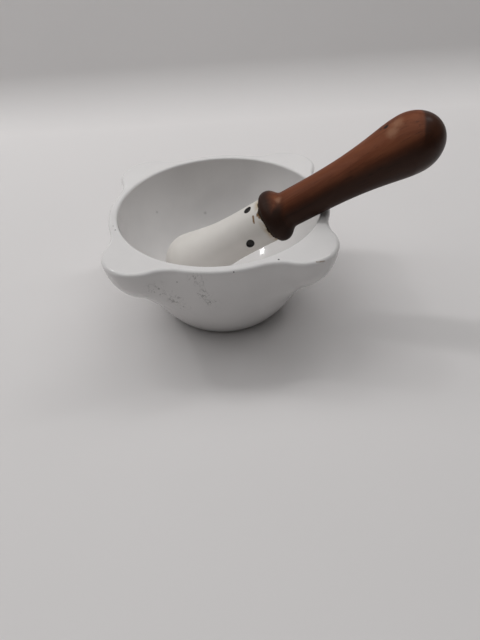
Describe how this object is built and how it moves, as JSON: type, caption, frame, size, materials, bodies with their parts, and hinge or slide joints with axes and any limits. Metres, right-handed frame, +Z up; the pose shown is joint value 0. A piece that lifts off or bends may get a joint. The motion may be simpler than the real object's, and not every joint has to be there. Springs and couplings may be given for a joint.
{
  "type": "mortar and pestle",
  "caption": "White glazed mortar with flat-topped lugs round the rim, and a porcelain pestle pinned and cemented to a turned wooden handle.",
  "frame": {"origin": "centre of the mortar's foot, on the surface that it stands on", "axes": "+Z up along the mortar's axis; the pestle leans towards +X and a little towards -Y"},
  "size_m": [0.2128, 0.1526, 0.1434],
  "materials": {
    "white_glaze": "gloss",
    "cream_glaze": "semi-gloss, a little worn",
    "brown_cement": "rough",
    "turned_wood": "satin, stained red-brown",
    "dark_iron": "matt, blackened"
  },
  "bodies": {
    "mortar": {"mortar": "white_glaze"},
    "pestle": {"pestle_head": "cream_glaze", "joint_cement": "brown_cement", "pestle_handle": "turned_wood", "cross_pin_upper": "dark_iron", "cross_pin_lower": "dark_iron"}
  },
  "joints": [
    {"name": "pestle_lift", "type": "slide", "parent": "mortar", "child": "pestle", "axis": [0, 0, 1], "range_m": [0, 0.12]}
  ]
}
